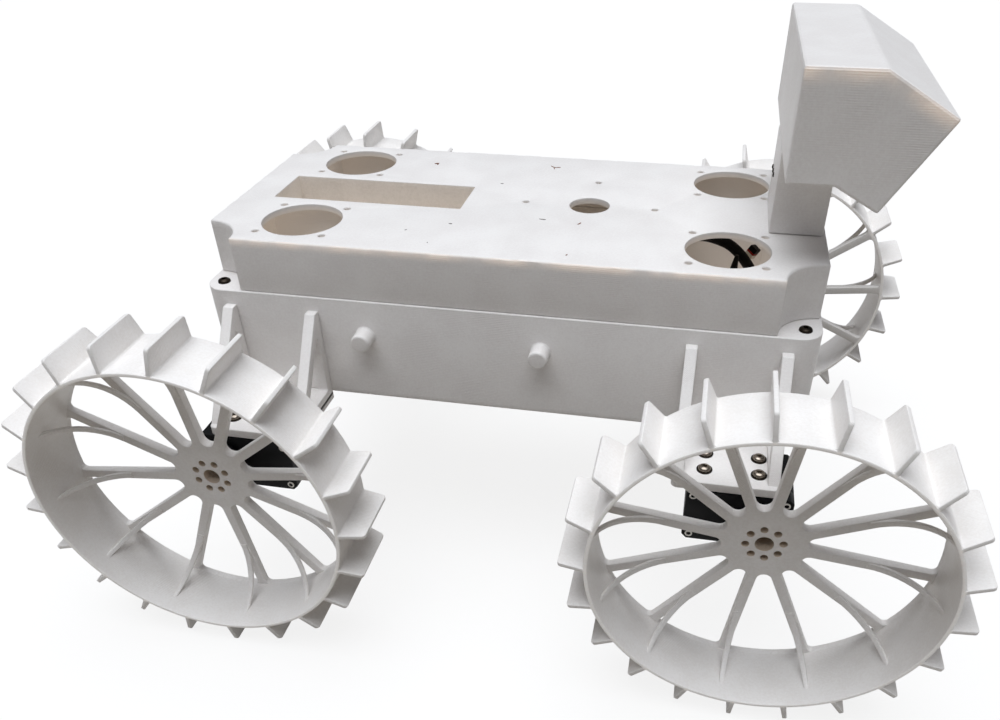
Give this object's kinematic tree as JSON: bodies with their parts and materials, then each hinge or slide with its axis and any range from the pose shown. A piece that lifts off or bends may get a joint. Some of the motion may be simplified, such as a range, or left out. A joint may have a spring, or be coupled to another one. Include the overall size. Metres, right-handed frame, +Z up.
{
  "type": "planetary rover prototype",
  "caption": "Boxy rover body on large spoked wheels with grousers, driven by small servos under triangular brackets, with a wide camera head on a short neck.",
  "frame": {"origin": "on the ground under the middle of the rover", "axes": "+X forward, towards the camera head's end; +Y left; +Z up"},
  "size_m": [0.4288, 0.3004, 0.2627],
  "materials": {
    "white_print": "white 3-D printed plastic, matte",
    "black_servo": "black moulded servo case",
    "horn_metal": "dark anodised servo horn",
    "black_sheath": "black insulating sleeve",
    "red_sheath": "red wire insulation",
    "lens_glass": "dark camera window"
  },
  "bodies": {
    "chassis": {"tub": "white_print", "cover": "white_print", "neck": "white_print", "camera_head": "white_print", "camera_lens_left": "lens_glass", "camera_lens_right": "lens_glass", "inner_lead": "black_sheath", "sleeved_lead": "black_sheath", "plug_lead": "red_sheath", "lead_plug": "black_sheath", "bracket_front_right": "white_print", "servo_front_right": "black_servo", "bracket_front_left": "white_print", "servo_front_left": "black_servo", "bracket_rear_right": "white_print", "servo_rear_right": "black_servo", "bracket_rear_left": "white_print", "servo_rear_left": "black_servo"},
    "wheel_body_front_right": {"wheel_front_right": "white_print", "servo_horn_front_right": "horn_metal"},
    "wheel_body_front_left": {"wheel_front_left": "white_print", "servo_horn_front_left": "horn_metal"},
    "wheel_body_rear_right": {"wheel_rear_right": "white_print", "servo_horn_rear_right": "horn_metal"},
    "wheel_body_rear_left": {"wheel_rear_left": "white_print", "servo_horn_rear_left": "horn_metal"}
  },
  "joints": [
    {"name": "wheel_spin_front_right", "type": "hinge", "parent": "chassis", "child": "wheel_body_front_right", "pos_m": [0.1286, -0.1172, 0.08585], "axis": [0, 1, 0], "continuous": true},
    {"name": "wheel_spin_front_left", "type": "hinge", "parent": "chassis", "child": "wheel_body_front_left", "pos_m": [0.1286, 0.1172, 0.08585], "axis": [0, 1, 0], "continuous": true},
    {"name": "wheel_spin_rear_right", "type": "hinge", "parent": "chassis", "child": "wheel_body_rear_right", "pos_m": [-0.1286, -0.1172, 0.08585], "axis": [0, 1, 0], "continuous": true},
    {"name": "wheel_spin_rear_left", "type": "hinge", "parent": "chassis", "child": "wheel_body_rear_left", "pos_m": [-0.1286, 0.1172, 0.08585], "axis": [0, 1, 0], "continuous": true}
  ]
}
